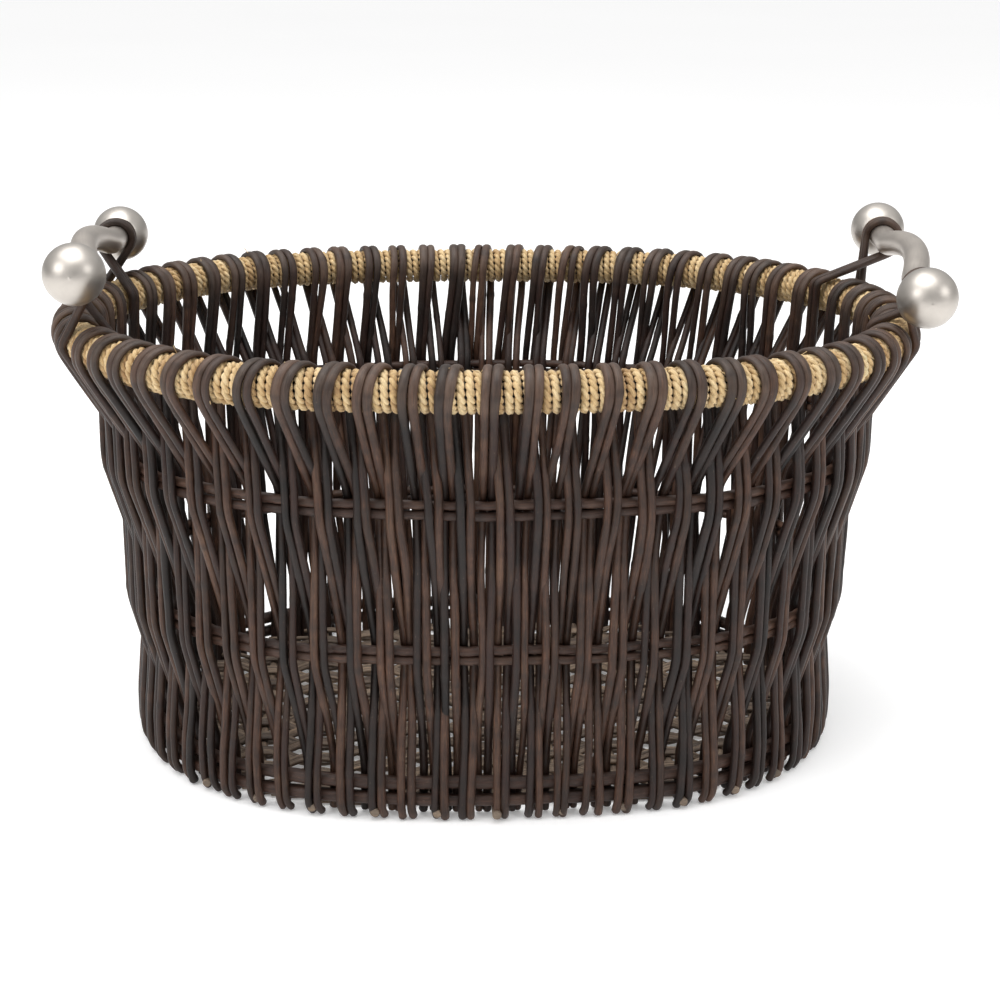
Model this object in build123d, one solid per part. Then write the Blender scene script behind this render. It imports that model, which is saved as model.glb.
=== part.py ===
from build123d import *
from math import asin, atan2, cos, hypot, pi, sin, sqrt, tan
import os

os.makedirs("parts", exist_ok=True)

# Oval log basket of willow stakes with a rope-wrapped rim and two swivelling bar handles.
# Millimetres. +X runs along the basket, +Z up. The origin is the middle of the face that
# the basket stands on. The front is at -Y.

# ---- Driving dimensions -------------------------------------------------------------

# Rim, as the centre line of its hoop: an oval of two end arcs and two flatter side arcs.
rim_half_length = 270.0
rim_half_width = 203.0
rim_end_radius = 196.0
rim_height = 284.5
hoop_diameter = 15.0
rope_diameter = 5.0
rope_lengths = 16
rope_clearance = 0.05

# How far the wall stands in from the rim line, and how high each band is as a share of the
# rim's height.
upper_band_inset = 19.0
lower_band_inset = 31.0
base_inset = 37.0
upper_band_share = 0.731
lower_band_share = 0.390
band_rod_diameter = 5.5
base_hoop_diameter = 8.0
base_hoop_gap = 3.0

# Stakes: pairs of rods that bend over the rim. The pitch of the pairs is in rod diameters.
stake_diameter = 4.4
stake_pitch = 5.05
stake_nodes = 16
pair_gap = 0.2
stake_clearance = 0.15
rim_slant = 4.0
foot_lean = 1.2

# Base: sticks across the basket with flat bundles of fine willow woven through them.
stick_diameter = 5.4
sticks_each_side = 5
weaver_thickness = 3.0
weaver_width = 11.4
weaver_gap = 0.4
weave_clearance = 0.1
weave_edge_gap = 1.0
weaver_flat = 10.0

# Handles: a bar bowed between two straight ends, with a ball on each end.
bar_diameter = 17.0
bar_wall = 1.5
ball_diameter = 38.0
ball_spacing = 214.0
bar_bow = 11.0
bow_direction = 45.0
bar_straight = 44.0
bar_end_bend = 40.0
plug_length = 16.0
stud_diameter = 8.0
stud_length = 26.0
fit_gap = 0.05
# Each handle's middle, outwards from the rim's end and above the rim, and how its hand-tied
# loops leave it: its back end further out and higher than its front end.
handle_out = {"left": -15.0, "right": 7.5}
handle_up = {"left": 45.5, "right": 39.0}
handle_yaw = {"left": 0.0, "right": 22.0}
handle_rise = {"left": -10.0, "right": 9.0}

# Loops of two rods that hold the bars, each in the place of a stake pair.
loop_rod_diameter = 3.8
loop_from_ball = 27.5
loop_clearance = 0.5
loop_spread = 0.5
loop_outer_shift = {"anticlockwise": 0.0, "clockwise": -3.0}
loop_inner_shift = {"anticlockwise": 8.0, "clockwise": 2.0}
loop_turn_gap = 0.4
loop_corners = 4

# ---- Derived sizes -------------------------------------------------------------------

upper_band_height = upper_band_share * rim_height
lower_band_height = lower_band_share * rim_height
rim_radius = hoop_diameter / 2 + rope_diameter
stake_radius = stake_diameter / 2
over_rim = rim_radius + stake_radius + stake_clearance
past_band = band_rod_diameter / 2 + stake_radius + stake_clearance
past_hoop = base_hoop_diameter / 2 + stake_radius + stake_clearance
pair_spacing = stake_diameter + pair_gap

stick_height = weaver_thickness + weave_clearance + stick_diameter / 2
over_stick = stick_height + stick_diameter / 2 + weave_clearance
lower_hoop_height = stick_height + (stick_diameter + base_hoop_diameter) / 2 + weave_clearance
upper_hoop_height = lower_hoop_height + base_hoop_diameter + base_hoop_gap

side_radius = ((rim_half_length - rim_end_radius) ** 2 + rim_half_width**2 - rim_end_radius**2) / (
    2 * (rim_half_width - rim_end_radius)
)
end_centre = rim_half_length - rim_end_radius
side_centre = side_radius - rim_half_width
join_angle = atan2(side_centre, end_centre)

ball_flat = sqrt((ball_diameter**2 - bar_diameter**2) / 4)
stud_bore = stud_diameter + 2 * fit_gap

# Bends along a stake, and how far it runs straight past a band's middle.
band_bend = 40.0
rim_bend = 15.0
bend_slack = 0.4
foot_bend = 25.0
band_half_run = band_rod_diameter + 5.0


# ---- The oval ------------------------------------------------------------------------


def quarter_arcs(inset):
    """Lengths of the end arc and the side arc in a quarter of the oval, inset from the rim."""
    return (rim_end_radius - inset) * join_angle, (side_radius - inset) * (pi / 2 - join_angle)


def perimeter(inset):
    return 4 * sum(quarter_arcs(inset))


# Pairs round the rim: a multiple of four, so that every quarter of the wall is the same.
stake_pairs = 4 * round(perimeter(0) / (4 * stake_pitch * stake_diameter))


def on_oval(inset, turn):
    """Point and outward direction at a fraction of a turn, from +X anticlockwise."""
    end_arc, side_arc = quarter_arcs(inset)
    quarter, along = divmod(turn % 1.0 * 4, 1.0)
    along *= end_arc + side_arc
    if quarter % 2:
        along = end_arc + side_arc - along
    if along <= end_arc:
        angle = along / (rim_end_radius - inset)
        x = end_centre + (rim_end_radius - inset) * cos(angle)
        y = (rim_end_radius - inset) * sin(angle)
    else:
        angle = join_angle + (along - end_arc) / (side_radius - inset)
        x = (side_radius - inset) * cos(angle)
        y = (side_radius - inset) * sin(angle) - side_centre
    x_sign = -1 if quarter in (1, 2) else 1
    y_sign = -1 if quarter in (2, 3) else 1
    return Vector(x_sign * x, y_sign * y), Vector(x_sign * cos(angle), y_sign * sin(angle))


def wall_point(turn, shift, inset, side, height):
    """Point beside the wall line, moved outwards by side and then shifted along the wall."""
    point, _ = on_oval(inset - side, turn + shift / perimeter(inset - side))
    return point + Vector(0, 0, height)


def oval_wire(inset, height, start=0.0, stop=1.0):
    """Tangent arcs that follow the oval from one fraction of a turn to another."""
    end_arc, side_arc = quarter_arcs(inset)
    end_share = end_arc / (end_arc + side_arc) / 4
    joins = [q / 2 + s * end_share for q in range(-1, 4) for s in (-1, 1)]
    stops = [start] + [j for j in joins if start + 1e-6 < j < stop - 1e-6] + [stop]
    lift = Vector(0, 0, height)
    edges = []
    for first, last in zip(stops, stops[1:]):
        points = [on_oval(inset, t)[0] + lift for t in (first, (first + last) / 2, last)]
        edges.append(ThreePointArc(*points))
    return Wire(edges)


# ---- Rods ----------------------------------------------------------------------------


def swept_rod(path, diameter, bore=0.0):
    """Round rod or tube along a wire."""
    start = Plane(origin=path @ 0, z_dir=path % 0)
    section = start * Circle(diameter / 2)
    if bore:
        section -= start * Circle(bore / 2)
    return sweep(section, path=path)


def bent_rod(points, radii, diameter):
    """Rod of straight runs joined by tangent arcs, one radius for each inner point."""
    return swept_rod(FilletPolyline(*points, radius=radii), diameter)


def group(node, solids):
    """Write one node's separate solids."""
    shapes = [solid for shape in solids for solid in shape.solids()]
    export_step(Compound(children=shapes), f"parts/{node}.step")


def tangent_corner(side, height, radius):
    """Where a run that starts at (side, height) and clears the rim meets the level of its top.

    Both are measured from the rim's centre. Positive radius passes outside, negative inside."""
    slope = atan2(-side, -height) + asin(radius / hypot(side, height))
    return side + (abs(radius) - height) * tan(slope)


# ---- Stakes --------------------------------------------------------------------------


def lower_leg(turn, shift, band_side, hoop_side):
    """Points of a leg from its foot up to just above the upper band, with their radii.

    band_side is +1 outside the lower band and inside the upper one, -1 the other way."""
    lean = foot_lean if hoop_side > 0 else 0.0
    lean_height = lower_hoop_height - base_hoop_diameter / 2
    # a leaning foot starts a little up, so that its tilted end stays above the floor
    rows = [(base_inset, hoop_side * past_hoop - lean, stake_radius * lean / lean_height)]
    radii = []
    if lean:
        rows.append((base_inset, hoop_side * past_hoop, lean_height))
        radii.append(foot_bend)
    rows.append((base_inset, hoop_side * past_hoop, upper_hoop_height + base_hoop_diameter))
    for inset, height, side in (
        (lower_band_inset, lower_band_height, band_side),
        (upper_band_inset, upper_band_height, -band_side),
    ):
        for step in (-band_half_run, band_half_run):
            rows.append((inset, side * past_band, height + step))
    radii += [band_bend] * 4 + [rim_bend]
    return [wall_point(turn, shift, *row) for row in rows], radii


def stake(turn, shift):
    """One rod: up the outside, over the rim and down the inside, half a pitch along."""
    half_pitch = perimeter(upper_band_inset) / stake_pairs / 2
    start, start_radii = lower_leg(turn, shift, 1, -1)
    finish, finish_radii = lower_leg(turn + 0.5 / stake_pairs, shift, -1, 1)
    below = upper_band_height + band_half_run - rim_height
    bend = over_rim + pair_gap
    outer = tangent_corner(-upper_band_inset - past_band, below, bend)
    inner = tangent_corner(-upper_band_inset + past_band, below, -bend)
    top = rim_height + bend
    corners = [wall_point(turn, shift, 0, outer, top)]
    corners.append(wall_point(turn, shift + rim_slant, 0, inner, top))
    radii = start_radii + [bend - bend_slack] * 2 + finish_radii
    return bent_rod(start + corners + finish[::-1], radii, stake_diameter)


def stake_turn(number):
    return (number + 0.5) / stake_pairs


def loop_stations():
    """The stake stations nearest to the loops, which take the place of a pair there."""
    half = stake_pairs // 2
    away = rim_end_radius * asin((ball_spacing / 2 - loop_from_ball) / rim_end_radius)
    station = round(away / perimeter(0) * stake_pairs - 0.5)
    return {
        ("right", "back"): station,
        ("left", "back"): half - 1 - station,
        ("left", "front"): half + station,
        ("right", "front"): stake_pairs - 1 - station,
    }


def pair_shifts():
    return (-pair_spacing / 2, pair_spacing / 2)


def stakes():
    """Stake pairs, in nodes of neighbours."""
    numbers = [n for n in range(stake_pairs) if n not in loop_stations().values()]
    for node in range(stake_nodes):
        first, last = (len(numbers) * k // stake_nodes for k in (node, node + 1))
        rods = [stake(stake_turn(n), s) for n in numbers[first:last] for s in pair_shifts()]
        group(f"stakes_{node + 1:02d}", rods)


# ---- Rim, bands and base hoops -------------------------------------------------------


def rim():
    """The hoop, and the rope wound round it in lengths that meet end to end."""
    group("rim_hoop", [swept_rod(oval_wire(0, rim_height), hoop_diameter)])
    bore = hoop_diameter + 2 * rope_clearance
    rope = []
    for number in range(rope_lengths):
        path = oval_wire(0, rim_height, number / rope_lengths, (number + 1) / rope_lengths)
        rope.append(swept_rod(path, 2 * rim_radius, bore))
    group("rim_rope", rope)


def bands():
    """Two stacked rods in each band, and the two hoops round the base."""
    half_stack = (band_rod_diameter + pair_gap) / 2
    for name, inset, height in (
        ("upper_band", upper_band_inset, upper_band_height),
        ("lower_band", lower_band_inset, lower_band_height),
    ):
        for row, lift in (("top", half_stack), ("bottom", -half_stack)):
            rod = swept_rod(oval_wire(inset, height + lift), band_rod_diameter)
            group(f"{name}_{row}_rod", [rod])
    for row, height in (("upper", upper_hoop_height), ("lower", lower_hoop_height)):
        group(f"base_hoop_{row}", [swept_rod(oval_wire(base_inset, height), base_hoop_diameter)])


# ---- Base ----------------------------------------------------------------------------


def stick_places():
    """Each stick's distance along X and its half length: at every second gap between pairs."""
    inset = base_inset + past_hoop / 2 + stake_radius
    places = []
    for number in range(-sticks_each_side, sticks_each_side + 1):
        x = on_oval(base_inset + past_hoop, 0.25 - 2 * number / stake_pairs)[0].X
        places.append((x, base_half_width_at(x, inset)))
    return places


def base_half_width_at(x, inset):
    """Half width of the oval, inset from the rim line, at a distance along X."""
    radius = rim_end_radius - inset
    join_x = end_centre + radius * cos(join_angle)
    if abs(x) <= join_x:
        return sqrt((side_radius - inset) ** 2 - x**2) - side_centre
    return sqrt(radius**2 - (abs(x) - end_centre) ** 2)


def base_half_length_at(y, inset):
    """Half length of the oval, inset from the rim line, at a distance along Y."""
    radius = rim_end_radius - inset
    if abs(y) <= radius * sin(join_angle):
        return end_centre + sqrt(radius**2 - y**2)
    return sqrt((side_radius - inset) ** 2 - (abs(y) + side_centre) ** 2)


def base_sticks():
    sticks = []
    for x, half in stick_places():
        plane = Plane(origin=(x, -half, stick_height), z_dir=(0, 1, 0))
        sticks.append(extrude(plane * Circle(stick_diameter / 2), 2 * half))
    group("base_sticks", sticks)


def weaver(row, row_width, edge):
    """Flat bundle of willow that passes over and under the sticks in turn."""
    y = row * (row_width + weaver_gap)
    half = base_half_length_at(abs(y) + row_width / 2, edge)
    inner = [(x, n) for n, (x, _) in enumerate(stick_places()) if abs(x) < half - weaver_flat]
    line = []
    for x, number in inner:
        lift = over_stick if (number + row + sticks_each_side) % 2 else 0.0
        line += [(x - weaver_flat / 2, lift), (x + weaver_flat / 2, lift)]
    line.sort()
    line = [(-half, line[0][1])] + line + [(half, line[-1][1])]
    top = [(x, lift + weaver_thickness) for x, lift in reversed(line)]
    outline = make_face(Polyline(*line, *top, close=True))
    return extrude(Plane.XZ.offset(-y - row_width / 2) * outline, row_width)


def base_weave():
    """Weavers side by side, from front to back."""
    edge = base_inset + past_hoop + stake_radius + weave_edge_gap
    half_width = base_half_width_at(0, edge)
    rows = int((half_width - weaver_width / 2) / (weaver_width + weaver_gap))
    group("base_weave", [weaver(row, weaver_width, edge) for row in range(-rows, rows + 1)])


# ---- Handles -------------------------------------------------------------------------


def handle_axis(side):
    """The handle's middle, the direction along it to the back, and the one out of the basket."""
    sign = -1 if side == "left" else 1
    middle = Vector(sign * (rim_half_length + handle_out[side]), 0, rim_height + handle_up[side])
    out, rise = handle_yaw[side], handle_rise[side]
    run = sqrt(ball_spacing**2 - out**2 - rise**2)
    half = Vector(sign * out, run, rise) / 2
    along = half.normalized()
    outward = (Vector(sign, 0, 0) - along * (sign * along.X)).normalized()
    return middle, along, outward


def upward_of(along, outward):
    """The direction square to both, on the upper side."""
    upward = along.cross(outward)
    return upward if upward.Z > 0 else upward * -1


def bar_path(side):
    """Straight ends on the handle's axis, with a bow between them."""
    middle, along, outward = handle_axis(side)
    upward = upward_of(along, outward)
    tilt = bow_direction * pi / 180
    bow = outward * cos(tilt) + upward * sin(tilt)
    half_bow = ball_spacing / 2 - bar_straight
    turn = 2 * atan2(bar_bow, half_bow)
    centre_bend = half_bow / sin(turn) - bar_end_bend

    def at(run, rise):
        return middle + along * run + bow * rise

    def end_bend(angle, sign):
        run = half_bow - bar_end_bend * sin(angle)
        return at(sign * run, bar_end_bend * (1 - cos(angle)))

    tip = ball_spacing / 2 - ball_flat
    low = [at(-tip, 0), end_bend(0, -1), end_bend(turn / 2, -1), end_bend(turn, -1)]
    high = [end_bend(turn, 1), end_bend(turn / 2, 1), end_bend(0, 1), at(tip, 0)]
    edges = [
        Line(low[0], low[1]),
        ThreePointArc(*low[1:]),
        ThreePointArc(low[3], at(0, bar_bow), high[0]),
        ThreePointArc(*high[:3]),
        Line(high[2], high[3]),
    ]
    return Wire(edges)


def rod_between(start, direction, length, diameter, bore=0.0):
    """Straight round bar, or a sleeve."""
    section = Circle(diameter / 2)
    if bore:
        section -= Circle(bore / 2)
    return extrude(Plane(origin=start, z_dir=direction) * section, length)


def ball(centre, inward):
    """Ball with a flat that seats on the bar's end and a blind hole for the stud."""
    block = 2 * ball_diameter
    flat = Plane(origin=centre + inward * ball_flat, z_dir=inward)
    solid = Pos(*centre) * Sphere(ball_diameter / 2)
    solid -= extrude(flat * Rectangle(block, block), block)
    depth = stud_length / 2 + fit_gap
    hole = rod_between(centre + inward * (ball_flat - depth), inward, 2 * depth, stud_bore)
    return solid - hole


def handle(side):
    """Bar, its end plugs, the studs and the balls."""
    middle, along, _ = handle_axis(side)
    group(f"{side}_handle_bar", [swept_rod(bar_path(side), bar_diameter, bar_diameter - 2 * bar_wall)])
    plugs, studs = [], []
    for name, inward in (("front", along), ("back", -along)):
        centre = middle - inward * (ball_spacing / 2)
        seat = centre + inward * ball_flat
        group(f"{side}_{name}_ball", [ball(centre, inward)])
        plug_diameter = bar_diameter - 2 * bar_wall - 2 * fit_gap
        plugs.append(rod_between(seat, inward, plug_length, plug_diameter, stud_bore))
        studs.append(rod_between(seat - inward * (stud_length / 2), inward, stud_length, stud_diameter))
    group(f"{side}_bar_plugs", plugs)
    group(f"{side}_ball_studs", studs)


# ---- Handle loops --------------------------------------------------------------------


def line_corner(first, second):
    """Where two lines meet. Each is (centre, reach, direction): it runs in the direction and
    passes the centre at the reach, which is positive on the line's left."""
    (c1, r1, a1), (c2, r2, a2) = first, second
    n1, n2 = (sin(a1), -cos(a1)), (sin(a2), -cos(a2))
    k1 = c1[0] * n1[0] + c1[1] * n1[1] + r1
    k2 = c2[0] * n2[0] + c2[1] * n2[1] + r2
    det = n1[0] * n2[1] - n1[1] * n2[0]
    return (k1 * n2[1] - k2 * n1[1]) / det, (n1[0] * k2 - n2[0] * k1) / det


def loop_lines(bar_centre, rim_reach, bar_reach):
    """The straight lines of a loop, seen along the bar: up past the outside of the rim, round
    the bar in a polygon, and down past the inside of the rim. The rim's centre is (0, 0)."""
    rim = (0.0, 0.0)
    facing = atan2(bar_centre[1], bar_centre[0])
    lean = asin((bar_reach + rim_reach) / hypot(*bar_centre))
    rise, fall = facing + lean, facing - lean - pi
    below = upper_band_height + band_half_run - rim_height
    sides = (-upper_band_inset - past_band, -upper_band_inset + past_band)
    slopes = [
        atan2(-side, -below) + asin(reach / hypot(side, below))
        for side, reach in zip(sides, (rim_reach, -rim_reach))
    ]
    first = (rim, rim_reach, pi / 2 - slopes[0])
    last = (rim, rim_reach, -pi / 2 - slopes[1])
    step = (fall - rise) / loop_corners
    around = [(bar_centre, -bar_reach, rise + step * k) for k in range(loop_corners + 1)]
    return [first] + around + [last]


def loop_rod(side, end, shift):
    """One rod: up the outside of the rim, round the bar and down the inside of the rim."""
    middle, along, outward = handle_axis(side)
    upward = upward_of(along, outward)
    turn = stake_turn(loop_stations()[side, end])
    onward = 1 if side == "right" else -1
    spin = 1 if end == "front" else -1
    run = (ball_spacing / 2 - loop_from_ball) * (-1 if end == "front" else 1)
    rim_point, rim_outward = on_oval(0, turn)
    offset = middle + along * run - rim_point - Vector(0, 0, rim_height)
    bar_centre = (offset.dot(outward), offset.dot(upward))
    bar_reach = bar_diameter / 2 + loop_clearance + stake_radius
    rim_reach = over_rim / rim_outward.dot(outward) + loop_spread
    lines = loop_lines(bar_centre, rim_reach, bar_reach)
    corners = [line_corner(*pair) for pair in zip(lines, lines[1:])]
    advance = 2 * pair_spacing + loop_turn_gap
    points = []
    for number, (across, up) in enumerate(corners[1:-1]):
        share = number / (loop_corners - 1) - 0.5
        place = middle + along * (run + onward * shift + spin * advance * share)
        points.append(place + outward * (across - bar_centre[0]) + upward * (up - bar_centre[1]))
    lean = "anticlockwise" if (side == "right") == (end == "front") else "clockwise"
    outer_shift, inner_shift = shift + loop_outer_shift[lean], shift + loop_inner_shift[lean]
    first = wall_point(turn, outer_shift, 0, corners[0][0], rim_height + corners[0][1])
    last = wall_point(turn, inner_shift, 0, corners[-1][0], rim_height + corners[-1][1])
    start, start_radii = lower_leg(turn, shift, 1, -1)
    finish, finish_radii = lower_leg(turn + 0.5 / stake_pairs, shift, -1, 1)
    rim_turn, bar_turn = rim_reach - bend_slack, bar_reach - bend_slack
    radii = [rim_turn] + [bar_turn] * loop_corners + [rim_turn]
    path = start + [first] + points + [last] + finish[::-1]
    return bent_rod(path, start_radii + radii + finish_radii, loop_rod_diameter)


def handle_loops():
    for side in ("left", "right"):
        for end in ("front", "back"):
            group(f"{side}_{end}_loop", [loop_rod(side, end, shift) for shift in pair_shifts()])


stakes()
handle_loops()
rim()
bands()
base_sticks()
base_weave()
for side in ("left", "right"):
    handle(side)
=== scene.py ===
from math import asin, atan2, cos, hypot, pi, radians, sin, sqrt

import bpy
import numpy as np
from mathutils import Matrix, Vector


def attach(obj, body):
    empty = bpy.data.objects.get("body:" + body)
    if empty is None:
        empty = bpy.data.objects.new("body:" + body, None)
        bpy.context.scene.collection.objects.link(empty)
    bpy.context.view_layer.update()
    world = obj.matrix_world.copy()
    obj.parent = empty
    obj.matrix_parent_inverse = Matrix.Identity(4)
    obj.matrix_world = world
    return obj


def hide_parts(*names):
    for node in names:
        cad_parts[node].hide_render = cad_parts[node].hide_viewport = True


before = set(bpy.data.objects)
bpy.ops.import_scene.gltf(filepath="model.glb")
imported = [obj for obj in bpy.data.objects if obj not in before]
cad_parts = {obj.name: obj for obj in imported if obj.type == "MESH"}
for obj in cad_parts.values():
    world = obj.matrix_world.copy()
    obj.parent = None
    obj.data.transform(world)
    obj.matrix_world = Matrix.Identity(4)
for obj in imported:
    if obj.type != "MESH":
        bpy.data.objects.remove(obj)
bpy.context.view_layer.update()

rng = np.random.default_rng(322)
MM = 0.001

# ---- Sizes, in millimetres, as in the CAD part except for the rods, which are thicker ----

rim_half_length, rim_half_width, rim_end_radius, rim_height = 270.0, 203.0, 196.0, 284.5
hoop_radius, rope_radius = 7.5, 2.55
upper_inset, lower_inset, base_inset = 19.0, 31.0, 37.0
upper_height, lower_height = 208.0, 111.0
lower_hoop_height, upper_hoop_height = 12.6, 23.6
stake_pairs = 68
rod_radius = 2.65
over_rim = 14.9
past_band, past_hoop = 5.7, 6.9
bar_radius, ball_radius, ball_spacing = 8.5, 19.0, 214.0
bar_straight, bar_end_bend, bar_bow = 44.0, 40.0, 11.0
handle_out = {"left": -15.0, "right": 7.5}
handle_up = {"left": 45.5, "right": 39.0}
handle_yaw = {"left": 0.0, "right": 22.0}
handle_rise = {"left": -10.0, "right": 9.0}
loop_station, loop_from_ball = 3, 26.5
stick_reach = 5
stick_height, stick_radius = 5.8, 2.8
weaver_pitch, weaver_low, weaver_high = 11.8, 1.6, 10.1
strands_per_weaver, strand_pitch, strand_radius = 4, 2.95, 1.5

# How the two rods of a pair stand apart, and how a rod flattens where it goes over the rim.
pair_shift, loop_pair_shift = 2.75, 2.7
rim_widening, rim_flattening = 0.14, 0.26

# Bands of two rods, one above the other.
band_radius, band_lift, hoop_rod_radius = 2.95, 3.0, 4.2
end_lap = 16.0

# Two-ply cord round the rim.
cord_pitch, points_per_turn = 5.3, 44
ply_radius, ply_offset, ply_twist_length = 1.62, 1.15, 9.0
loose_fibres = 90

# Turns of a loop along its bar, and how far its legs lean along the rim.
loop_advance = 12.2
loop_leg_shifts = {"anticlockwise": (0.0, 8.0), "clockwise": (-3.0, 2.0)}

side_radius = ((rim_half_length - rim_end_radius) ** 2 + rim_half_width**2 - rim_end_radius**2) / (
    2 * (rim_half_width - rim_end_radius)
)
end_centre = rim_half_length - rim_end_radius
side_centre = side_radius - rim_half_width
join_angle = atan2(side_centre, end_centre)


def perimeter(offset):
    """Length of the oval that stands outwards of the rim line by offset."""
    return 4 * ((rim_end_radius + offset) * join_angle + (side_radius + offset) * (pi / 2 - join_angle))


def on_oval(offset, turn):
    """Points and outward directions on that oval, for arrays of offsets and turns."""
    offset, turn = np.broadcast_arrays(np.asarray(offset, float), np.asarray(turn, float))
    end_arc = (rim_end_radius + offset) * join_angle
    side_arc = (side_radius + offset) * (pi / 2 - join_angle)
    quarter, along = np.divmod(turn % 1.0 * 4, 1.0)
    along = np.where(quarter % 2 == 1, 1 - along, along) * (end_arc + side_arc)
    on_end = along <= end_arc
    angle = np.where(
        on_end,
        along / (rim_end_radius + offset),
        join_angle + (along - end_arc) / (side_radius + offset),
    )
    radius = np.where(on_end, rim_end_radius + offset, side_radius + offset)
    x = np.where(on_end, end_centre, 0.0) + radius * np.cos(angle)
    y = radius * np.sin(angle) - np.where(on_end, 0.0, side_centre)
    x_sign = np.where((quarter == 1) | (quarter == 2), -1.0, 1.0)
    y_sign = np.where((quarter == 2) | (quarter == 3), -1.0, 1.0)
    zero = np.zeros_like(x)
    point = np.stack([x_sign * x, y_sign * y, zero], axis=-1)
    outward = np.stack([x_sign * np.cos(angle), y_sign * np.sin(angle), zero], axis=-1)
    return point, outward


# ---- Mesh building -------------------------------------------------------------------


def unit(v):
    return v / np.maximum(np.linalg.norm(v, axis=-1, keepdims=True), 1e-12)


def resample(line, step):
    """Rows spaced evenly by the length of their first three columns."""
    length = np.r_[0, np.cumsum(np.linalg.norm(np.diff(line[:, :3], axis=0), axis=1))]
    count = max(int(length[-1] / step), 2)
    at = np.linspace(0, length[-1], count + 1)
    return np.stack([np.interp(at, length, line[:, c]) for c in range(line.shape[1])], axis=1)


def soften(line, step, reach):
    """Gaussian smoothing of evenly spaced rows, with both ends kept."""
    half = int(3 * reach / step)
    weights = np.exp(-0.5 * (np.arange(-half, half + 1) * step / reach) ** 2)
    weights /= weights.sum()
    first = 2 * line[0] - line[half:0:-1]
    last = 2 * line[-1] - line[-2 : -half - 2 : -1]
    padded = np.concatenate([first, line, last])
    return np.stack([np.convolve(padded[:, c], weights, "valid") for c in range(line.shape[1])], axis=1)


def wander(count, step, wave, size):
    """Slow random drift along a rod, of about the given size."""
    knots = max(int(count * step / wave) + 3, 4)
    values = rng.normal(0, size, knots)
    at = np.linspace(0, knots - 1.001, count)
    low = at.astype(int)
    share = at - low
    share = share * share * (3 - 2 * share)
    return values[low] * (1 - share) + values[np.minimum(low + 1, knots - 1)] * share


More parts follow.
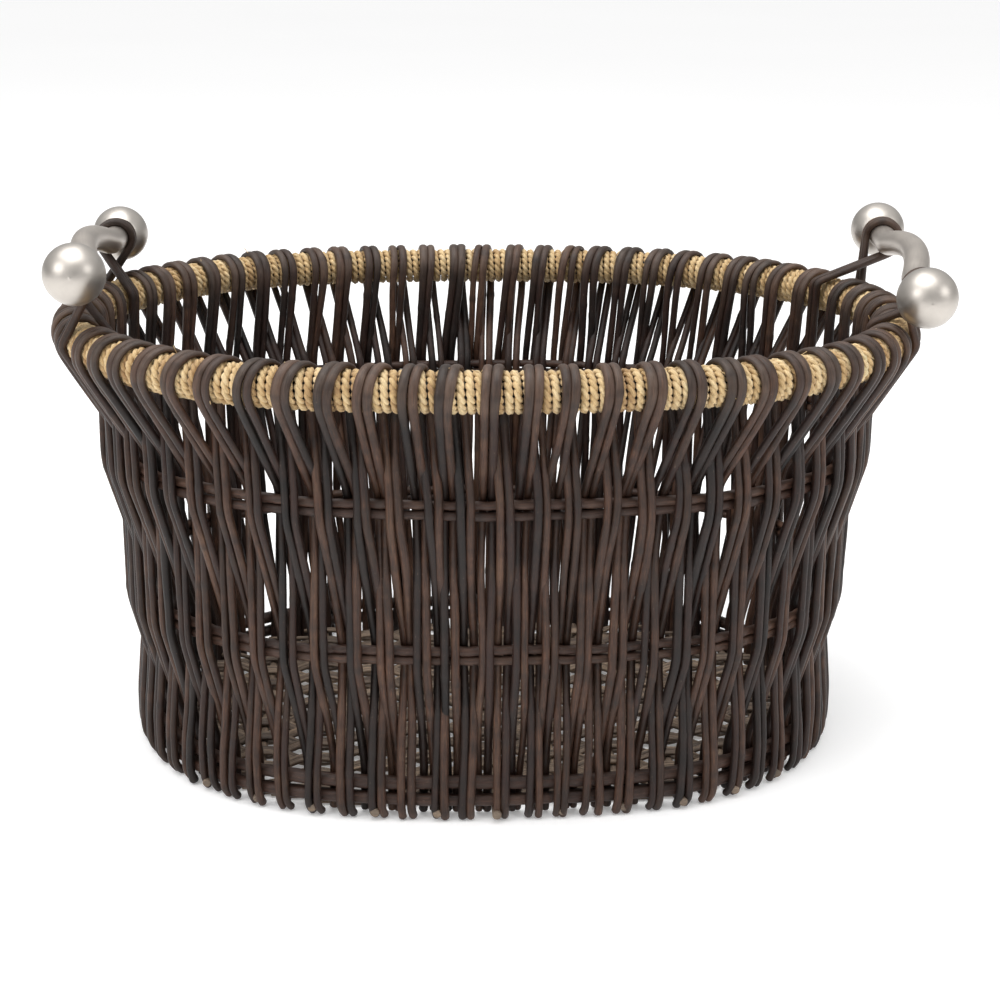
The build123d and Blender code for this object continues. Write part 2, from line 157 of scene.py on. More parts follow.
class Bundle:
    """Gathers tubes into one mesh, with grain coordinates and tone, knot and wear values; the wear value
    also lightens the rim tops with a painted highlight.
    """

    def __init__(self):
        self.verts, self.faces, self.uvs = [], [], []
        self.values = {"tone": [], "wear_and_sheen": [], "knot": []}
        self.count = 0

    def tube(self, line, across, wide, deep, tone, wear_and_sheen=0.0, knot=0.0, sides=10, closed=False):
        """Adds a tube along line, in mm; its wide semi-axis follows the direction across."""
        n = len(line)
        ahead = np.roll(line, -1, axis=0) - np.roll(line, 1, axis=0)
        if not closed:
            ahead[0], ahead[-1] = line[1] - line[0], line[-1] - line[-2]
        ahead = unit(ahead)
        across = np.broadcast_to(across, line.shape)
        first = unit(across - ahead * np.sum(across * ahead, axis=1, keepdims=True))
        second = np.cross(ahead, first)
        wide = np.broadcast_to(wide, n).astype(float)
        deep = np.broadcast_to(deep, n).astype(float)
        length = np.r_[0, np.cumsum(np.linalg.norm(np.diff(line, axis=0), axis=1))]
        rows = np.array([np.broadcast_to(v, n) for v in (tone, wear_and_sheen, knot)], float)
        if not closed:
            # a slightly rounded cut at both ends
            tip = 0.35 * min(wide[0], deep[0])
            line = np.concatenate([[line[0] - ahead[0] * tip], line, [line[-1] + ahead[-1] * tip]])
            first = np.concatenate([first[:1], first, first[-1:]])
            second = np.concatenate([second[:1], second, second[-1:]])
            wide = np.r_[wide[0] * 0.78, wide, wide[-1] * 0.78]
            deep = np.r_[deep[0] * 0.78, deep, deep[-1] * 0.78]
            length = np.r_[length[0], length, length[-1]]
            rows = np.concatenate([rows[:, :1], rows, rows[:, -1:]], axis=1)
            n += 2
        angle = np.arange(sides) * 2 * pi / sides
        ring = (
            line[:, None]
            + first[:, None] * (wide[:, None] * np.cos(angle))[..., None]
            + second[:, None] * (deep[:, None] * np.sin(angle))[..., None]
        )
        self.verts.append(ring.reshape(-1, 3) * MM)
        for key, row in zip(self.values, rows):
            self.values[key].append(np.repeat(row, sides))
        stop = n if closed else n - 1
        i, j = np.meshgrid(np.arange(stop), np.arange(sides), indexing="ij")
        i2, j2 = (i + 1) % n, (j + 1) % sides
        quads = np.stack([i * sides + j, i * sides + j2, i2 * sides + j2, i2 * sides + j], axis=-1)
        self.faces.extend((quads.reshape(-1, 4) + self.count).tolist())
        girth = 2 * pi * float(np.mean((wide + deep) / 2))
        shift = float(rng.uniform(0, 40))
        u1, u2 = j / sides * girth + shift, (j + 1) / sides * girth + shift
        end = length[-1] + (np.linalg.norm(line[0] - line[-1]) if closed else 0)
        steps = np.r_[length, end]
        v1, v2 = steps[i], steps[i + 1]
        uv = np.stack([u1, v1, u2, v1, u2, v2, u1, v2], axis=-1)
        self.uvs.append(uv.reshape(-1) * MM)
        if not closed:
            low = (np.arange(sides)[::-1] + self.count).tolist()
            high = (np.arange(sides) + self.count + (n - 1) * sides).tolist()
            self.faces.extend([low, high])
            flat = np.stack([np.cos(angle) * 2 + shift, np.sin(angle) * 2], axis=-1) * MM
            self.uvs.append(flat[::-1].reshape(-1))
            self.uvs.append(flat.reshape(-1))
        self.count += n * sides

    def make(self, name, material, body, nodes):
        mesh = bpy.data.meshes.new(name)
        verts = np.concatenate(self.verts)
        verts[:, 2] = np.maximum(verts[:, 2], 0.0)
        mesh.from_pydata(verts.tolist(), [], self.faces)
        layer = mesh.uv_layers.new(name="grain")
        layer.data.foreach_set("uv", np.concatenate(self.uvs).astype(np.float32))
        for key, parts in self.values.items():
            attribute = mesh.attributes.new(key, "FLOAT", "POINT")
            attribute.data.foreach_set("value", np.concatenate(parts).astype(np.float32))
        mesh.polygons.foreach_set("use_smooth", [len(f) == 4 for f in self.faces])
        mesh.materials.append(material)
        mesh.validate()
        mesh.update()
        piece = bpy.data.objects.new(name, mesh)
        bpy.context.scene.collection.objects.link(piece)
        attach(piece, body)
        if nodes:
            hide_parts(*nodes)
        return piece


def rod_radii(count, step, radius, taper=0.0):
    """A willow rod's radius: slow changes, a little taper, and swollen knots here and there."""
    radii = radius * (1 + wander(count, step, 25, 0.035) + np.linspace(taper, -taper, count))
    knot = np.zeros(count)
    place = rng.uniform(20, 120)
    while place < count * step:
        bump = np.exp(-0.5 * ((np.arange(count) * step - place) / 1.6) ** 2)
        radii += radius * rng.uniform(0.05, 0.14) * bump
        knot = np.maximum(knot, bump)
        place += rng.uniform(60, 170)
    return radii, knot


# ---- Node materials ------------------------------------------------------------------


class Nodes:
    """A short way to write node materials."""

    def __init__(self, name):
        self.material = bpy.data.materials.new(name)
        self.material.use_nodes = True
        self.tree = self.material.node_tree
        self.tree.nodes.clear()
        self.out = self.add("ShaderNodeOutputMaterial")
        self.shader = self.add("ShaderNodeBsdfPrincipled")
        self.link(self.shader.outputs[0], self.out.inputs[0])

    def add(self, kind, **values):
        node = self.tree.nodes.new(kind)
        for key, value in values.items():
            setattr(node, key, value)
        return node

    def link(self, a, b):
        self.tree.links.new(a, b)

    def set(self, node, socket, value):
        target = node.inputs[socket]
        if isinstance(value, bpy.types.NodeSocket):
            self.link(value, target)
        else:
            target.default_value = value

    def math(self, operation, *values, clamp=False):
        node = self.add("ShaderNodeMath", operation=operation, use_clamp=clamp)
        for number, value in enumerate(values):
            self.set(node, number, value)
        return node.outputs[0]

    def mapping(self, vector, scale):
        node = self.add("ShaderNodeMapping")
        self.set(node, "Vector", vector)
        node.inputs["Scale"].default_value = scale
        return node.outputs[0]

    def noise(self, vector, scale, detail=3.0, rough=0.55):
        node = self.add("ShaderNodeTexNoise")
        self.set(node, "Vector", vector)
        node.inputs["Scale"].default_value = scale
        node.inputs["Detail"].default_value = detail
        node.inputs["Roughness"].default_value = rough
        return node.outputs["Fac"]

    def ramp(self, value, stops):
        node = self.add("ShaderNodeValToRGB")
        band = node.color_ramp
        while len(band.elements) < len(stops):
            band.elements.new(0.5)
        for element, (place, color) in zip(band.elements, stops):
            element.position = place
            element.color = (*color, 1.0)
        self.set(node, "Fac", value)
        return node.outputs["Color"]

    def grey(self, value, low, high, start=0.0, stop=1.0):
        node = self.add("ShaderNodeMapRange")
        self.set(node, "Value", value)
        for key, number in (("From Min", start), ("From Max", stop), ("To Min", low), ("To Max", high)):
            node.inputs[key].default_value = number
        return node.outputs["Result"]

    def mix(self, share, a, b, blend="MIX"):
        node = self.add("ShaderNodeMix", data_type="RGBA", blend_type=blend)
        self.set(node, 0, share)
        for socket, value in ((6, a), (7, b)):
            if isinstance(value, tuple):
                value = (*value, 1.0)
            self.set(node, socket, value)
        return node.outputs[2]

    def attribute(self, name):
        node = self.add("ShaderNodeAttribute", attribute_name=name)
        return node.outputs["Fac"]

    def bump(self, height, strength, distance):
        node = self.add("ShaderNodeBump")
        node.inputs["Strength"].default_value = strength
        node.inputs["Distance"].default_value = distance
        self.set(node, "Height", height)
        self.link(node.outputs[0], self.shader.inputs["Normal"])

    def uv(self):
        return self.add("ShaderNodeUVMap", uv_map="grain").outputs[0]

    def place(self):
        return self.add("ShaderNodeTexCoord").outputs["Object"]


def bark(name, tints, wear_and_sheen_color, grain_depth=0.5, rough=(0.38, 0.62)):
    """Willow bark: a tint for each rod, fine grain along it, blotches, knots, and rim tops lightened
    towards a grey-tan that is partly wear and partly painted highlight.
    """
    m = Nodes(name)
    uv, place = m.uv(), m.place()
    tone, wear_and_sheen, knot = m.attribute("tone"), m.attribute("wear_and_sheen"), m.attribute("knot")
    fine = m.noise(m.mapping(uv, (2600.0, 110.0, 1.0)), 1.0, 4.0, 0.65)
    broad = m.noise(m.mapping(uv, (520.0, 14.0, 1.0)), 1.0, 3.0, 0.6)
    blotch = m.noise(place, 62.0, 4.0, 0.6)
    spots = m.noise(m.mapping(uv, (900.0, 420.0, 1.0)), 1.0, 2.0, 0.5)
    mixed = m.math("ADD", tone, m.math("MULTIPLY", m.math("SUBTRACT", blotch, 0.5), 0.9))
    color = m.ramp(mixed, tints)
    grain = m.ramp(fine, [(0.25, (0.2, 0.18, 0.17)), (0.52, (1, 1, 1)), (0.8, (2.7, 2.45, 2.2))])
    color = m.mix(0.85, color, grain, "MULTIPLY")
    streaks = m.ramp(broad, [(0.3, (0.38, 0.36, 0.35)), (0.7, (1.75, 1.65, 1.55))])
    color = m.mix(0.6, color, streaks, "MULTIPLY")
    speck = m.grey(spots, 0.0, 0.55, 0.66, 0.76)
    color = m.mix(speck, color, wear_and_sheen_color)
    # painted highlight and wear: the rim tops are lightened towards the worn colour, partly as rubbed wear
    # and partly as painted sheen where light falls on them
    wear_and_sheen_mask = m.math("MULTIPLY", wear_and_sheen, m.grey(m.math("ADD", fine, blotch), 0.15, 1.0, 0.7, 1.25), clamp=True)
    color = m.mix(wear_and_sheen_mask, color, wear_and_sheen_color)
    color = m.mix(m.math("MULTIPLY", knot, 0.55), color, (0.016, 0.011, 0.009))
    m.set(m.shader, "Base Color", color)
    roughness = m.math("SUBTRACT", m.grey(fine, rough[0], rough[1]), m.math("MULTIPLY", wear_and_sheen, 0.08))
    m.set(m.shader, "Roughness", roughness)
    m.shader.inputs["Specular IOR Level"].default_value = 0.34
    height = m.math("ADD", m.math("MULTIPLY", fine, 0.5), m.math("MULTIPLY", broad, 0.8))
    m.bump(height, grain_depth, 0.0006)
    return m.material


dark_tints = [
    (0.0, (0.0036, 0.0020, 0.0016)),
    (0.25, (0.0110, 0.0052, 0.0038)),
    (0.45, (0.0211, 0.0086, 0.0060)),
    (0.62, (0.0248, 0.0122, 0.0072)),
    (0.8, (0.0480, 0.0225, 0.0138)),
    (1.0, (0.0720, 0.0380, 0.0230)),
]
band_tints = [
    (0.0, (0.0119, 0.0053, 0.0039)),
    (0.35, (0.0264, 0.0118, 0.0081)),
    (0.65, (0.0409, 0.0190, 0.0130)),
    (1.0, (0.0660, 0.0353, 0.0234)),
]
base_tints = [
    (0.0, (0.0450, 0.0302, 0.0224)),
    (0.4, (0.0975, 0.0706, 0.0518)),
    (0.7, (0.1500, 0.1116, 0.0805)),
    (1.0, (0.2025, 0.1512, 0.1085)),
]
# The third colour of each bark is for the light specks and for the rubbed rim tops; on the rim tops it is
# partly wear and partly painted highlight.
willow = bark("willow_bark", dark_tints, (0.135, 0.092, 0.068))
band_willow = bark("willow_band_bark", band_tints, (0.16, 0.11, 0.082))
base_willow = bark("willow_base_bark", base_tints, (0.34, 0.28, 0.22), 0.45, (0.5, 0.75))


def seagrass():
    """Dried seagrass: golden to brown patches, with fine dark and light fibres."""
    m = Nodes("seagrass_rope")
    uv, place = m.uv(), m.place()
    tone = m.attribute("tone")
    fibre = m.noise(m.mapping(uv, (4200.0, 260.0, 1.0)), 1.0, 4.0, 0.65)
    patch = m.noise(place, 85.0, 3.0, 0.6)
    mixed = m.math("ADD", m.math("MULTIPLY", tone, 0.5), m.math("MULTIPLY", patch, 0.6))
    color = m.ramp(
        mixed,
        [
            (0.10, (0.16, 0.085, 0.035)),
            (0.30, (0.40, 0.24, 0.10)),
            (0.52, (0.62, 0.43, 0.205)),
            (0.78, (0.78, 0.60, 0.34)),
            (1.0, (0.66, 0.58, 0.33)),
        ],
    )
    streak = m.ramp(fibre, [(0.28, (0.30, 0.23, 0.17)), (0.52, (1, 1, 1)), (0.82, (1.4, 1.35, 1.25))])
    m.set(m.shader, "Base Color", m.mix(0.9, color, streak, "MULTIPLY"))
    m.set(m.shader, "Roughness", m.grey(fibre, 0.5, 0.8))
    m.shader.inputs["Sheen Weight"].default_value = 0.15
    m.bump(fibre, 0.6, 0.0005)
    return m.material


def steel(name, tint, rough, streak):
    """Satin steel: fine brushing and cloudy patches."""
    m = Nodes(name)
    uv, place = m.uv(), m.place()
    brush = m.noise(m.mapping(uv, (streak[0], streak[1], 1.0)), 1.0, 3.0, 0.6)
    cloud = m.noise(place, 38.0, 4.0, 0.6)
    shade = m.math("ADD", m.math("MULTIPLY", brush, 0.35), m.math("MULTIPLY", cloud, 0.65))
    dark = tuple(c * 0.80 for c in tint)
    m.set(m.shader, "Base Color", m.ramp(shade, [(0.3, dark), (0.7, tint)]))
    m.shader.inputs["Metallic"].default_value = 1.0
    m.set(m.shader, "Roughness", m.grey(shade, rough[0], rough[1], 0.3, 0.7))
    m.bump(brush, 0.08, 0.0002)
    return m.material


bar_steel = steel("satin_bar_steel", (0.60, 0.545, 0.49), (0.34, 0.46), (900.0, 60.0))
ball_steel = steel("satin_ball_steel", (0.56, 0.52, 0.475), (0.32, 0.46), (60.0, 60.0))
rope_grass = seagrass()

# ---- Stakes --------------------------------------------------------------------------


def wall_place(turn, offset, shift, height):
    """Points on the wall, for arrays of offsets outwards, shifts along it and heights."""
    turn = turn + shift / perimeter(offset)
    point, outward = on_oval(offset, turn)
    point[..., 2] = height
    return point, outward


half_pitch = perimeter(-upper_inset) / stake_pairs / 2


def leg_rows(front_of_lower, outside_hoops, curl):
    """Offset and height of a leg, from its foot up to the upper band."""
    side = 1 if front_of_lower else -1
    foot = -base_inset + (past_hoop if outside_hoops else -past_hoop)
    rows = []
    if outside_hoops:
        rows += [(foot - curl - 2.5, 2.4), (foot - 1.2, 4.5)]
    else:
        rows += [(foot, 2.2)]
    rows += [(foot, 10.0), (foot, 33.0)]
    for inset, height, where in ((lower_inset, lower_height, side), (upper_inset, upper_height, -side)):
        rows += [(-inset + where * past_band, height - 7), (-inset + where * past_band, height + 7)]
    return rows


def tangent_angle(offset, height, reach, outer):
    """Angle about the rim's centre where a run from (offset, height) touches the arc over it."""
    away = hypot(offset, height - rim_height)
    toward = atan2(height - rim_height, offset)
    swing = np.arccos(reach / away)
    return toward + swing if outer else toward - swing


def stake_line(turn, shift, reach, slant):
    """A stake's centre line: offset, height and shift, then points in space."""
    up = leg_rows(True, False, 0)
    down = leg_rows(False, True, rng.uniform(0, 3))
    start = tangent_angle(*up[-1], reach, True)
    stop = tangent_angle(*down[-1], reach, False)
    start, stop = start % (2 * pi), stop % (2 * pi)
    if start > pi:
        start -= 2 * pi
    arc = [(reach * cos(a), rim_height + reach * sin(a)) for a in np.linspace(start, stop, 16)]
    rows = [(o, z, shift) for o, z in up]
    rows += [(o, z, shift + slant * k / 15) for k, (o, z) in enumerate(arc)]
    rows += [(o, z, shift + half_pitch) for o, z in down[::-1]]
    step = 2.0
    line = resample(np.array(rows), step)
    line = soften(line, step, 4.2)
    count = len(line)
    top = np.exp(-0.5 * ((line[:, 1] - rim_height - 10) / 14) ** 2)
    free = 1 - 0.6 * top
    offset = line[:, 0] + wander(count, step, 60, 0.35) * free
    along = line[:, 2] + wander(count, step, 70, 0.75) * free
    point, outward = wall_place(turn, offset, along, line[:, 1])
    sideways = np.stack([-outward[:, 1], outward[:, 0], 0 * outward[:, 0]], axis=1)
    return point, sideways, top, step


def add_rod(bundle, point, sideways, top, step, radius, tone):
    """A stake's rod, flattened where it goes over the rim and lightened there, partly as wear and partly as
    a painted highlight.
    """
    count = len(point)
    radii, knot = rod_radii(count, step, radius, rng.uniform(-0.05, 0.05))
    # lightening over the rim: partly wear, partly painted highlight
    wear_and_sheen = top * rng.uniform(0.25, 0.75) + 0.03
    shades = tone + wander(count, step, 45, 0.05)
    wide = radii * (1 + rim_widening * top)
    deep = radii * (1 - rim_flattening * top)
    bundle.tube(point, sideways, wide, deep, shades, wear_and_sheen, knot)


def loop_numbers():
    """The place of each handle loop, counted in pairs of stakes round the rim."""
    half = stake_pairs // 2
    return {
        ("right", "back"): loop_station,
        ("left", "back"): half - 1 - loop_station,
        ("left", "front"): half + loop_station,
        ("right", "front"): stake_pairs - 1 - loop_station,
    }


def build_stakes():
    numbers = [n for n in range(stake_pairs) if n not in loop_numbers().values()]
    for first in range(0, len(numbers), 4):
        bundle = Bundle()
        for number in numbers[first : first + 4]:
            jitter = rng.uniform(-1.6, 1.6)
            slant = 4.0 + rng.uniform(-2.0, 2.5)
            for half in (-1, 1):
                radius = rod_radius * rng.uniform(0.88, 1.10)
                shift = jitter + half * pair_shift
                line = stake_line((number + 0.5) / stake_pairs, shift, over_rim, slant + half * 0.3)
                add_rod(bundle, *line, radius, rng.uniform(0.12, 0.88))
        node = f"stakes_{first // 4 + 1:02d}"
        bundle.make(f"willow_{node}", willow, "basket", [node])


# ---- Rim -----------------------------------------------------------------------------


def build_rope():
    """Two-ply seagrass cord wound round the hoop, turn beside turn."""
    turns = int(perimeter(0) / cord_pitch)
    count = turns * points_per_turn
    at = np.arange(count) / count
    wobble = np.interp(at * turns, np.arange(turns + 1), rng.normal(0, 0.02, turns + 1))
    angle = -2 * pi * turns * at
    along = at + 0.07 * np.sin(angle / 2 + 1.0) / perimeter(0)
    centre, outward = on_oval(0.0, along)
    centre[:, 2] = rim_height
    upward = np.array([0.0, 0.0, 1.0])
    lengthways = np.stack([-outward[:, 1], outward[:, 0], 0 * outward[:, 0]], axis=1)
    radial = outward * np.cos(angle)[:, None] + upward * np.sin(angle)[:, None]
    reach = hoop_radius + rope_radius + 0.1 + wobble
    cord = centre + radial * reach[:, None]
    length = np.abs(angle) * (hoop_radius + rope_radius)
    twist = 2 * pi * length / ply_twist_length
    bundle = Bundle()
    tone_turn = rng.uniform(0, 1, turns + 1)
    tone = np.interp(at * turns, np.arange(turns + 1), tone_turn)
    for ply in (0, 1):
        phase = twist + ply * pi
        size = ply_radius * (1 + 0.06 * np.sin(length / 7.0 + ply))
        aside = radial * np.cos(phase)[:, None] + lengthways * np.sin(phase)[:, None]
        line = cord + ply_offset * aside
        shade = np.clip(tone * 0.8 + 0.2 * ply, 0, 1)
        bundle.tube(line, lengthways, size, size, shade, sides=7, closed=True)
    for _ in range(loose_fibres):
        where = int(rng.integers(0, count - 1))
        base, lift = cord[where], unit(radial[where] + rng.normal(0, 0.4, 3))
        if radial[where][2] < -0.3:
            continue
        run = unit(lengthways[where] * rng.normal(0, 1) + np.cross(lengthways[where], radial[where]))
        s = np.linspace(0, 1, 7)[:, None]
        size = rng.uniform(5, 11)
        hair = base + lift * (1.9 + 2.6 * s * rng.uniform(0.3, 1.0)) + run * size * s
        bundle.tube(hair, lift, 0.26, 0.2, rng.uniform(0.5, 1.0), sides=5)
    bundle.make("seagrass_rim_rope", rope_grass, "basket", ["rim_rope"])


# ---- Bands and hoops -----------------------------------------------------------------


def ring_rod(bundle, inset, height, radius, tone, sway):
    """A rod right round the wall, in lengths whose thin ends lie beside each other."""
    lengths = int(rng.integers(4, 6))
    start = rng.uniform(0, 1)
    total = perimeter(-inset)
    for number in range(lengths):
        first = start + number / lengths
        last = start + (number + 1) / lengths + end_lap / total
        count = int((last - first) * total / 3.0)
        turn = np.linspace(first, last, count)
        wave = sway * np.cos(2 * pi * stake_pairs * 2 * turn + rng.uniform(-0.3, 0.3))
        ease = np.clip(np.minimum(np.arange(count), np.arange(count)[::-1]) * 3.0 / 14, 0, 1)
        dip = -2.4 * (1 - ease) * np.where(np.arange(count) > count / 2, 1, 0)
        point, outward = on_oval(-inset + wave + dip + wander(count, 3, 40, 0.25), turn)
        point[:, 2] = height + wander(count, 3, 50, 0.45)
        radii, knot = rod_radii(count, 3.0, radius, 0.06)
        radii *= 0.72 + 0.28 * ease
        shade = rng.uniform(tone[0], tone[1]) + wander(count, 3, 40, 0.06)
        bundle.tube(point, np.array([0.0, 0.0, 1.0]), radii, radii, shade, 0.12, knot, sides=12)


def build_bands():
    bands = (("upper", upper_inset, upper_height), ("lower", lower_inset, lower_height))
    for name, inset, height in bands:
        for row, lift in (("top", band_lift), ("bottom", -band_lift)):
            bundle = Bundle()
            ring_rod(bundle, inset, height + lift, band_radius, (0.35, 0.95), 0.45)
            node = f"{name}_band_{row}"
            bundle.make(f"willow_{node}", band_willow, "basket", [f"{node}_rod"])
    for row, height in (("upper", upper_hoop_height), ("lower", lower_hoop_height)):
        bundle = Bundle()
        ring_rod(bundle, base_inset, height, hoop_rod_radius, (0.15, 0.7), 0.2)
        bundle.make(f"willow_base_hoop_{row}", band_willow, "basket", [f"base_hoop_{row}"])


# ---- Base ----------------------------------------------------------------------------


def half_width_at(x, offset):
    """Half the oval's width at a place along it."""
    radius = rim_end_radius + offset
    if abs(x) <= end_centre + radius * cos(join_angle):
        return sqrt((side_radius + offset) ** 2 - x**2) - side_centre
    return sqrt(radius**2 - (abs(x) - end_centre) ** 2)


def half_length_at(y, offset):
    """Half the oval's length at a place across it."""
    radius = rim_end_radius + offset
    if abs(y) <= radius * sin(join_angle):
        return end_centre + sqrt(radius**2 - y**2)
    return sqrt((side_radius + offset) ** 2 - (abs(y) + side_centre) ** 2)


def stick_xs():
    """Places of the base sticks along the basket, between the pairs of stakes."""
    turns = [0.25 - 2 * n / stake_pairs for n in range(-stick_reach, stick_reach + 1)]
    return [float(on_oval(-base_inset + 6.35, t)[0][0]) for t in turns]


def build_base():
    sticks = Bundle()
    for x in stick_xs():
        half = half_width_at(x, -base_inset) + rng.uniform(6.0, 9.5)
        at = np.linspace(-half, half, 60)
        step = 2 * half / 59
        line = np.stack([x + wander(60, step, 80, 0.7), at, stick_height + 0 * at], axis=1)
        radii, knot = rod_radii(60, step, stick_radius, 0.05)
        ends = 0.12 + 0.2 * (np.abs(at) > half - 5)
        sticks.tube(line, np.array([0.0, 0, 1]), radii, radii, rng.uniform(0.3, 0.9), ends, knot)
    sticks.make("willow_base_sticks", base_willow, "basket", ["base_sticks"])
    weave = Bundle()
    edge = -base_inset - past_hoop - 2.5
    rows = int((half_width_at(0, edge) - weaver_pitch / 2) / weaver_pitch)
    xs = stick_xs()
    for row in range(-rows, rows + 1):
        for strand in range(strands_per_weaver):
            y = row * weaver_pitch + (strand - (strands_per_weaver - 1) / 2) * strand_pitch
            half = half_length_at(abs(y), edge) - rng.uniform(0, 2)
            knots = []
            for number, x in enumerate(xs):
                if abs(x) < half - 6:
                    high = (number + row + stick_reach) % 2
                    knots += [(x - 4, high), (x + 4, high)]
            knots.sort()
            at = np.arange(-half, half, 4.0)
            lift = np.interp(at, [k[0] for k in knots], [k[1] for k in knots])
            rise = lift * lift * (3 - 2 * lift)
            count = len(at)
            z = weaver_low + (weaver_high - weaver_low) * rise + rng.uniform(0, 0.35)
            line = np.stack([at, y + wander(count, 4, 50, 0.25), z], axis=1)
            radii, knot = rod_radii(count, 4.0, strand_radius, 0.03)
            shade = rng.uniform(0.1, 0.95) + wander(count, 4, 60, 0.06)
            weave.tube(line, np.array([0.0, 1, 0]), radii, radii * 0.95, shade, 0.1, knot * 0.5, sides=7)
    weave.make("willow_base_weave", base_willow, "basket", ["base_weave"])


# ---- Handles -------------------------------------------------------------------------


def handle_axis(side):
    """A handle's middle, the direction from its front ball to its back ball, and two across it."""
    sign = -1 if side == "left" else 1
    middle = np.array([sign * (rim_half_length + handle_out[side]), 0, rim_height + handle_up[side]])
    out, rise = handle_yaw[side], handle_rise[side]
    run = sqrt(ball_spacing**2 - out**2 - rise**2)
    along = unit(np.array([sign * out, run, rise]))
    outward = np.array([sign, 0.0, 0.0])
    outward = unit(outward - along * np.dot(outward, along))
    upward = np.cross(along, outward)
    return middle, along, outward, upward * (1 if upward[2] > 0 else -1)


def bar_line(side):
    """The bar's centre line: straight ends, small bends and a bow between them."""
    middle, along, outward, upward = handle_axis(side)
    bow = (outward + upward) / sqrt(2)
    half_bow = ball_spacing / 2 - bar_straight
    turn = 2 * atan2(bar_bow, half_bow)
    rows = []
    tip = ball_spacing / 2 - 14.0
    for run in np.linspace(-tip, tip, 121):
        away = abs(run)
        bend = half_bow - bar_end_bend * sin(turn)
        if away >= half_bow:
            rise = 0.0
        elif away > bend:
            gone = half_bow - away
            rise = bar_end_bend - sqrt(bar_end_bend**2 - gone**2)
        else:
            low = bar_end_bend * (1 - cos(turn))
            radius = bend / sin(turn)
            rise = low + sqrt(radius**2 - away**2) - sqrt(radius**2 - bend**2)
        rows.append(middle + along * run + bow * rise)
    return np.array(rows), bow


def build_handle(side):
    middle, along, outward, _ = handle_axis(side)
    line, bow = bar_line(side)
    body = f"{side}_handle"
    bar = Bundle()
    bar.tube(line, np.cross(along, bow), bar_radius, bar_radius, 0.5, sides=40)
    bar.make(f"steel_{side}_bar", bar_steel, body, [f"{side}_handle_bar"])
    for name, inward in (("front", along), ("back", -along)):
        centre = middle - inward * (ball_spacing / 2)
        # profile along the axis: the ball, then a small neck that meets the bar
        meet = asin((bar_radius + 1.6) / ball_radius)
        angles = np.linspace(0.02, pi - meet, 46)
        stations = [(-ball_radius * cos(a), ball_radius * sin(a)) for a in angles]
        x0, r0 = stations[-1]
        for k in range(1, 7):
            swing = k / 6 * pi / 2
            neck_radius = bar_radius + 0.25
            radius = neck_radius + (r0 - neck_radius) * (1 - sin(swing))
            stations.append((x0 + 1.9 * (1 - cos(swing)) + 0.1 * k, radius))
        stations = np.array(stations)
        ball = Bundle()
        path = centre + inward * stations[:, :1]
        ball.tube(path, outward, stations[:, 1], stations[:, 1], 0.5, sides=56)
        node = f"{side}_{name}_ball"
        ball.make(f"steel_{node}", ball_steel, body, [node])


# ---- Handle loops --------------------------------------------------------------------


def line_corner(first, second):
    """Where two lines meet, each given by a circle that it touches and its direction."""
    (c1, r1, a1), (c2, r2, a2) = first, second
    n1, n2 = (sin(a1), -cos(a1)), (sin(a2), -cos(a2))
    k1 = c1[0] * n1[0] + c1[1] * n1[1] + r1
    k2 = c2[0] * n2[0] + c2[1] * n2[1] + r2
    det = n1[0] * n2[1] - n1[1] * n2[0]
    return (k1 * n2[1] - k2 * n1[1]) / det, (n1[0] * k2 - n2[0] * k1) / det


def loop_line(side, end, shift):
    """Up the outside of the rim, round the bar, and down the inside of the rim."""
    middle, along, outward, upward = handle_axis(side)
    turn = (loop_numbers()[side, end] + 0.5) / stake_pairs
    onward = 1 if side == "right" else -1
    spin = 1 if end == "front" else -1
    run = (ball_spacing / 2 - loop_from_ball) * (-1 if end == "front" else 1)
    rim_point, rim_outward = on_oval(0.0, turn)
    offset = middle + along * run - rim_point - np.array([0, 0, rim_height])
    bar_centre = (float(np.dot(offset, outward)), float(np.dot(offset, upward)))
    reach = bar_radius + rod_radius + 0.15
    rim_reach = (over_rim - 0.3) / float(np.dot(rim_outward, outward))
    facing = atan2(bar_centre[1], bar_centre[0])
    lean = asin((reach + rim_reach) / hypot(*bar_centre))
    rise, fall = facing + lean, facing - lean - pi
    below = upper_height + 7 - rim_height
    sides = (-upper_inset - past_band, -upper_inset + past_band)
    slopes = [
        atan2(-s, -below) + asin(r / hypot(s, below)) for s, r in zip(sides, (rim_reach, -rim_reach))
    ]
    first = line_corner(((0, 0), rim_reach, pi / 2 - slopes[0]), (bar_centre, -reach, rise))
    first = (min(first[0], over_rim + 1.0), first[1])
    last = line_corner((bar_centre, -reach, fall), ((0, 0), rim_reach, -pi / 2 - slopes[1]))
    points = []
    for k, angle in enumerate(np.linspace(rise, fall, 22)):
        share = k / 21 - 0.5
        place = middle + along * (run + onward * shift + spin * loop_advance * share)
        points.append(place - reach * (outward * sin(angle) - upward * cos(angle)))
    hand = "anticlockwise" if (side == "right") == (end == "front") else "clockwise"

    def wall_point(across, extra, height):
        return wall_place(turn, np.array([across]), np.array([shift + extra]), height)[0][0]

    corners = [
        wall_point(across, extra, rim_height + up)
        for (across, up), extra in zip((first, last), loop_leg_shifts[hand])
    ]
    start = [wall_point(o, 0.0, z) for o, z in leg_rows(True, False, 0)]
    finish = [wall_point(o, half_pitch, z) for o, z in leg_rows(False, True, 2)]
    step = 1.6
    line = resample(np.array(start + [corners[0]] + points + [corners[1]] + finish[::-1]), step)
    return soften(line, step, 2.6), along, step


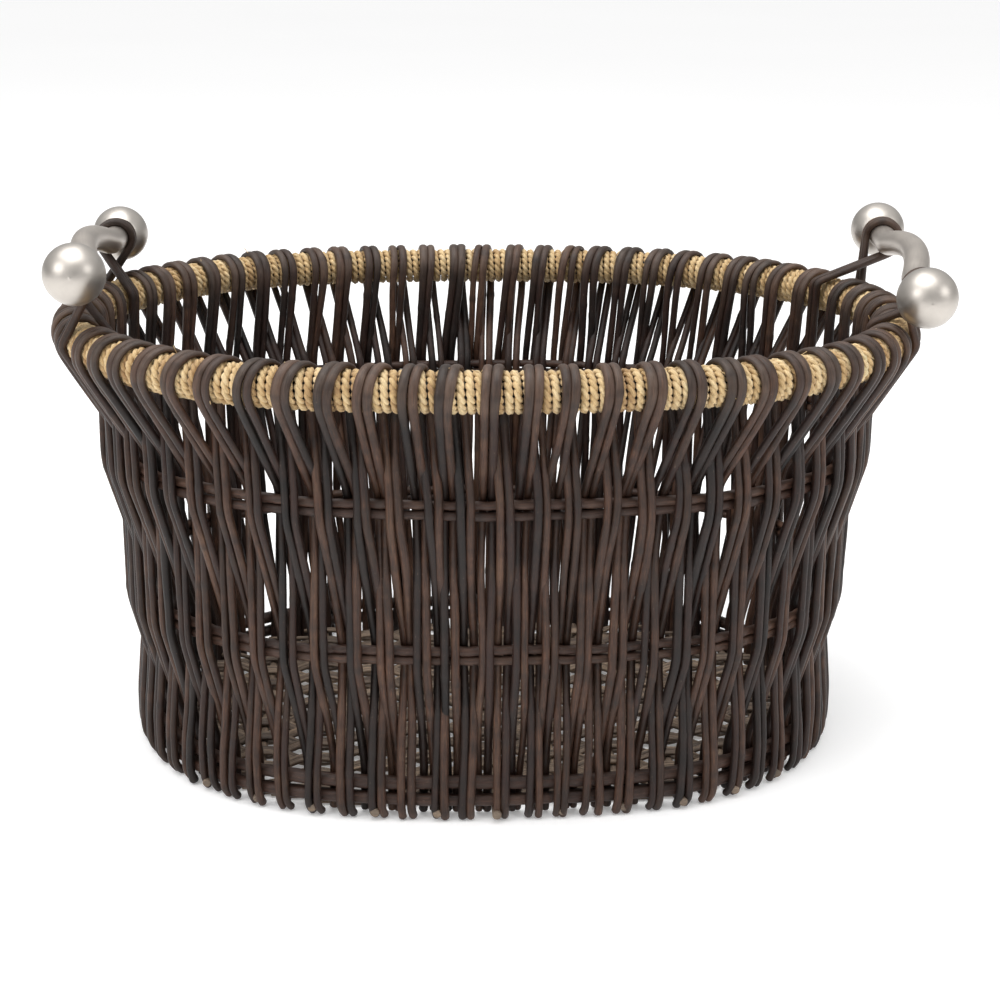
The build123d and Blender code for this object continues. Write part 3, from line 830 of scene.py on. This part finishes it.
def build_loops():
    for side, end in loop_numbers():
        bundle = Bundle()
        for half in (-1, 1):
            line, along, step = loop_line(side, end, half * loop_pair_shift)
            count = len(line)
            radii, knot = rod_radii(count, step, rod_radius * rng.uniform(0.93, 1.02), 0.03)
            top = np.clip((line[:, 2] - rim_height - 5) / 40, 0, 1)
            # lighter towards the top of the loop: partly wear, partly painted highlight
            wear_and_sheen = 0.08 + top * rng.uniform(0.3, 0.6)
            shade = rng.uniform(0.25, 0.85) + wander(count, step, 45, 0.05)
            bundle.tube(line, along, radii, radii * 0.97, shade, wear_and_sheen, knot, sides=12)
        node = f"{side}_{end}_loop"
        bundle.make(f"willow_{node}", willow, "basket", [node])


# ---- Put it together -----------------------------------------------------------------

build_stakes()
build_rope()
build_bands()
build_base()
for side in ("left", "right"):
    build_handle(side)
build_loops()

hidden_wood = bark("willow_hoop_bark", dark_tints, (0.2, 0.16, 0.13))
hidden_steel = steel("plain_steel", (0.55, 0.55, 0.56), (0.3, 0.45), (200.0, 200.0))
hidden = {"rim_hoop": hidden_wood}
for side in ("left", "right"):
    for inner in ("bar_plugs", "ball_studs"):
        hidden[f"{side}_{inner}"] = hidden_steel
for name, material in hidden.items():
    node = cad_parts[name]
    if not node.material_slots:
        node.data.materials.append(material)
    for material_slot in node.material_slots:
        material_slot.link = "OBJECT"
        material_slot.material = material

# ---- Floor, light and camera ---------------------------------------------------------

floor_mesh = bpy.data.meshes.new("floor")
floor_reach = 40.0
corner_signs = ((-1, -1), (1, -1), (1, 1), (-1, 1))
corners = [(x * floor_reach, y * floor_reach, 0) for x, y in corner_signs]
floor_mesh.from_pydata(corners, [], [(0, 1, 2, 3)])
floor = bpy.data.objects.new("floor", floor_mesh)
floor.location.z = -0.0002
bpy.context.scene.collection.objects.link(floor)
pale = Nodes("pale_floor")
soft = pale.noise(pale.place(), 0.6, 2.0)
floor_tints = [(0.2, (0.93, 0.93, 0.93)), (0.8, (0.955, 0.955, 0.955))]
pale.set(pale.shader, "Base Color", pale.ramp(soft, floor_tints))
pale.shader.inputs["Roughness"].default_value = 0.7
pale.shader.inputs["Specular IOR Level"].default_value = 0.2
pale.shader.inputs["Emission Color"].default_value = (1.0, 1.0, 1.0, 1.0)
pale.shader.inputs["Emission Strength"].default_value = 0.22
floor_mesh.materials.append(pale.material)

world = bpy.data.worlds.new("studio")
bpy.context.scene.world = world
world.use_nodes = True
tree = world.node_tree
background = tree.nodes["Background"]
coords = tree.nodes.new("ShaderNodeTexCoord")
split = tree.nodes.new("ShaderNodeSeparateXYZ")
band = tree.nodes.new("ShaderNodeValToRGB")
tree.links.new(coords.outputs["Generated"], split.inputs[0])
tree.links.new(split.outputs["Z"], band.inputs["Fac"])
tree.links.new(band.outputs["Color"], background.inputs["Color"])
band.color_ramp.elements[0].color = (0.35, 0.35, 0.35, 1.0)
background.inputs["Strength"].default_value = 1.0


def softbox(name, place, target, size, power):
    """A rectangular light that points at the target."""
    data = bpy.data.lights.new(name, "AREA")
    data.shape = "RECTANGLE"
    data.size, data.size_y = size
    data.energy = power
    light = bpy.data.objects.new(name, data)
    light.location = place
    light.rotation_euler = (Vector(target) - Vector(place)).to_track_quat("-Z", "Y").to_euler()
    bpy.context.scene.collection.objects.link(light)


softbox("top_box", (-0.3, -0.2, 2.6), (0, 0, 0.1), (2.6, 2.2), 52)
softbox("left_box", (-2.3, -1.6, 1.6), (0, 0, 0.15), (1.6, 1.4), 26)
softbox("right_box", (2.4, -1.4, 1.5), (0, 0, 0.15), (1.4, 1.2), 14)

camera_data = bpy.data.cameras.new("camera")
camera_data.sensor_width = 36.0
camera_data.lens = 68.4
camera_data.clip_end = 200
camera = bpy.data.objects.new("camera", camera_data)
bpy.context.scene.collection.objects.link(camera)
turned = Matrix.Rotation(radians(-3.68), 4, "Z") @ Matrix.Rotation(radians(72.81), 4, "X")
standpoint = Matrix.Translation((-0.0711, -1.2490, 0.5449))
roll = Matrix.Rotation(0.0098, 4, "Z")
camera.matrix_world = standpoint @ turned @ roll
bpy.context.scene.camera = camera
bpy.context.scene.view_settings.view_transform = "Standard"
